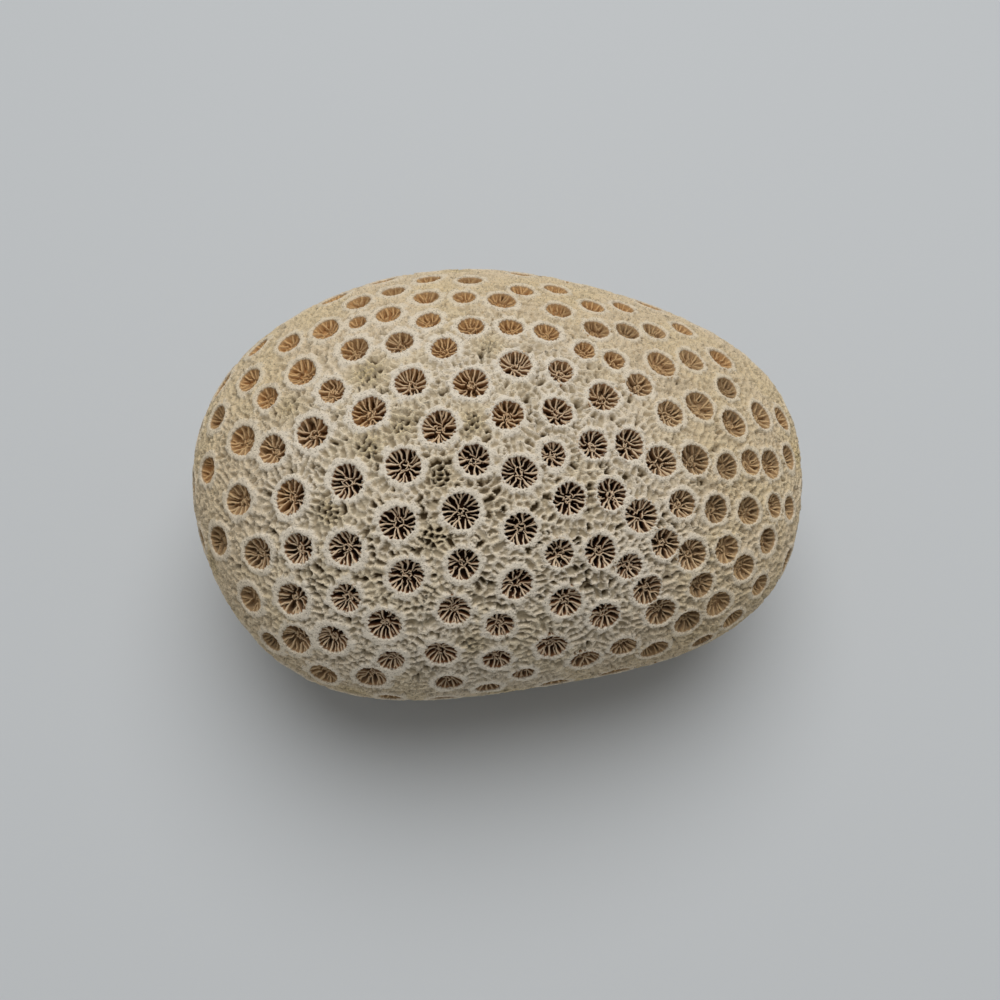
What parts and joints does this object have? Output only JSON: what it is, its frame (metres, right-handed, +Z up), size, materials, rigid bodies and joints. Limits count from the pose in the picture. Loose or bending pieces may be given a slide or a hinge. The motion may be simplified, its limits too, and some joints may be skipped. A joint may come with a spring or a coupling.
{
  "type": "brain coral",
  "caption": "Loose egg-shaped piece of stony coral skeleton, covered in small round ribbed cups, with a flat ground underside to rest on. For display or study.",
  "frame": {"origin": "middle of the bounding box, at the flat base that the coral rests on", "axes": "+Z up from the base; +X along the length, from the blunt end to the narrow end; +Y across the width"},
  "size_m": [0.0476, 0.035, 0.0268],
  "materials": {
    "coral_skeleton": "matte"
  },
  "bodies": {
    "root": {"coral": "coral_skeleton"}
  },
  "joints": []
}
